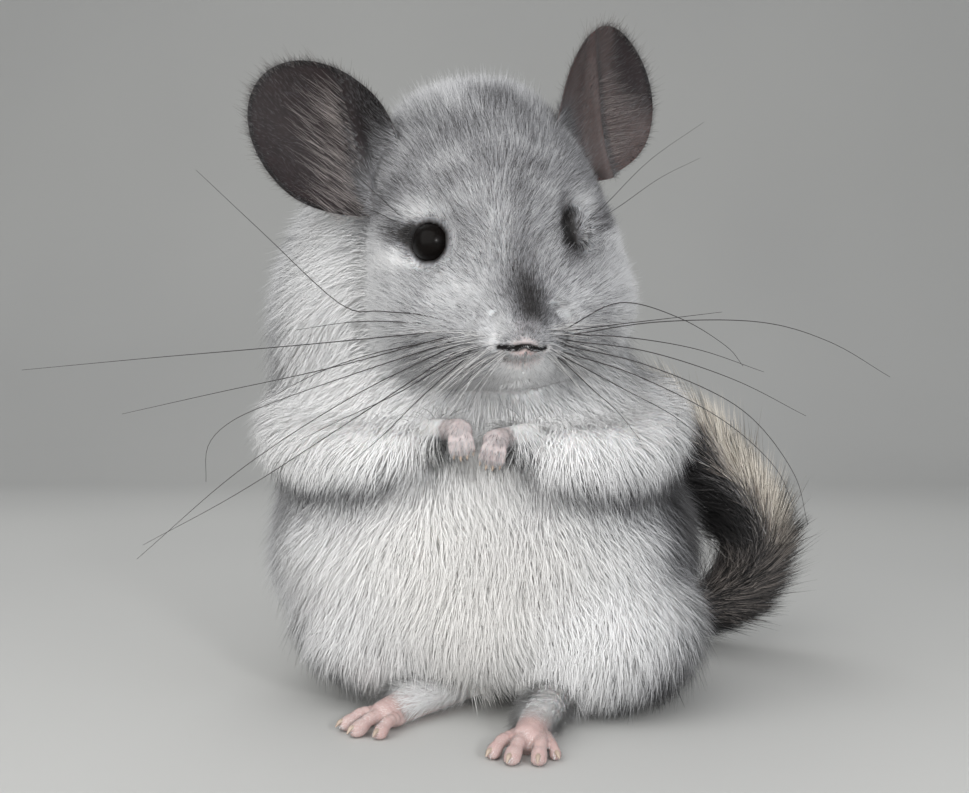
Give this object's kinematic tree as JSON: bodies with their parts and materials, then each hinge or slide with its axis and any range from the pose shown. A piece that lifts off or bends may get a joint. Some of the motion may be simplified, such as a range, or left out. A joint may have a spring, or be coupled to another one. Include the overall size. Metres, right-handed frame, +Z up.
{
  "type": "chinchilla",
  "caption": "Still life-size chinchilla sitting upright on its haunches, front paws together, head turned, large round ears, long whiskers and a thick curled tail.",
  "frame": {"origin": "on the floor, on the flat that the rump sits on, close to the middle of the body", "axes": "+Z up from the floor; the animal's chest faces -Y and its own left is +X; its head is turned a little towards +X"},
  "size_m": [0.2616, 0.1707, 0.2318],
  "materials": {
    "fur_white": "long soft white and pale grey fur",
    "fur_grey": "short soft grey fur with dark tips",
    "fur_dark": "long coarse dark fur",
    "bare_skin": "soft pink skin with fine short hair",
    "ear_skin": "thin dark mauve skin with sparse hair",
    "eye": "wet glossy black"
  },
  "bodies": {
    "root": {"head": "fur_grey", "muzzle": "fur_grey", "jaw": "fur_white", "nose": "bare_skin", "whiskers_left": "fur_grey", "whiskers_right": "fur_grey", "eye_left": "eye", "eye_right": "eye", "ear_left": "ear_skin", "ear_right": "ear_skin", "neck": "fur_white", "trunk": "fur_white", "arm_left": "fur_white", "arm_right": "fur_white", "hand_left": "bare_skin", "hand_right": "bare_skin", "thigh_left": "fur_white", "thigh_right": "fur_white", "foot_left": "bare_skin", "foot_right": "bare_skin", "tail_base": "fur_dark", "tail_middle": "fur_dark", "tail_tip": "fur_dark"}
  },
  "joints": []
}
